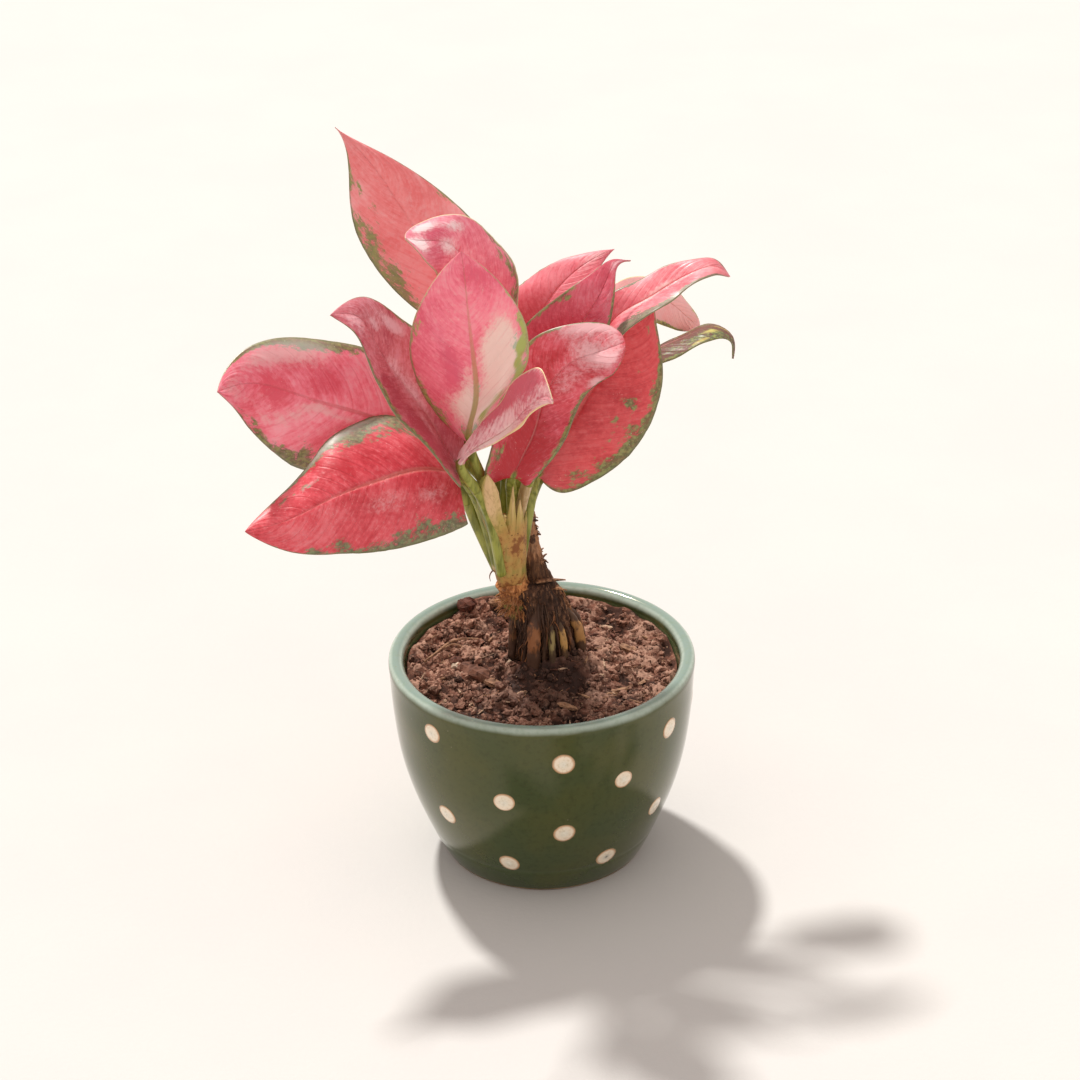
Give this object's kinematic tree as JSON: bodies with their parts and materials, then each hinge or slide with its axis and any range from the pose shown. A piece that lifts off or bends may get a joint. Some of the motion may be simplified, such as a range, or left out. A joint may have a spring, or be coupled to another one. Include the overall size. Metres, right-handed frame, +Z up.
{
  "type": "potted chinese evergreen plant",
  "caption": "Red and pink leaved Chinese evergreen with green-flecked margins on a short rooted stem, in a green glazed ceramic pot with cream dots.",
  "frame": {"origin": "centre of the pot's flat base, on the surface it stands on", "axes": "+Z up along the pot's axis; the plant shows best from -Y, and leans towards -X"},
  "size_m": [0.2016, 0.1248, 0.2983],
  "materials": {
    "glaze": "dark green gloss glaze with cream dots, bare pale foot",
    "soil": "crumbly moist potting mix",
    "stem": "green and tan sheaths over a brown fibrous cane and roots",
    "leaf_pink": "satin salmon pink leaf with green-flecked margins",
    "leaf_crimson": "satin crimson leaf with green-flecked margins",
    "leaf_striped": "satin leaf with grey, green and orange stripes"
  },
  "bodies": {
    "root": {"pot": "glaze", "soil": "soil", "stem": "stem", "leaf_tall_back": "leaf_pink", "leaf_arching_top": "leaf_pink", "leaf_front_upright": "leaf_pink", "leaf_front_small": "leaf_pink", "leaf_back_right": "leaf_pink", "leaf_right_narrow": "leaf_pink", "leaf_rear_right": "leaf_pink", "leaf_left_folded": "leaf_crimson", "leaf_left_broad": "leaf_crimson", "leaf_lower_left": "leaf_crimson", "leaf_front_right": "leaf_crimson", "leaf_right_large": "leaf_crimson", "leaf_middle_right": "leaf_crimson", "leaf_far_right": "leaf_striped"}
  },
  "joints": []
}
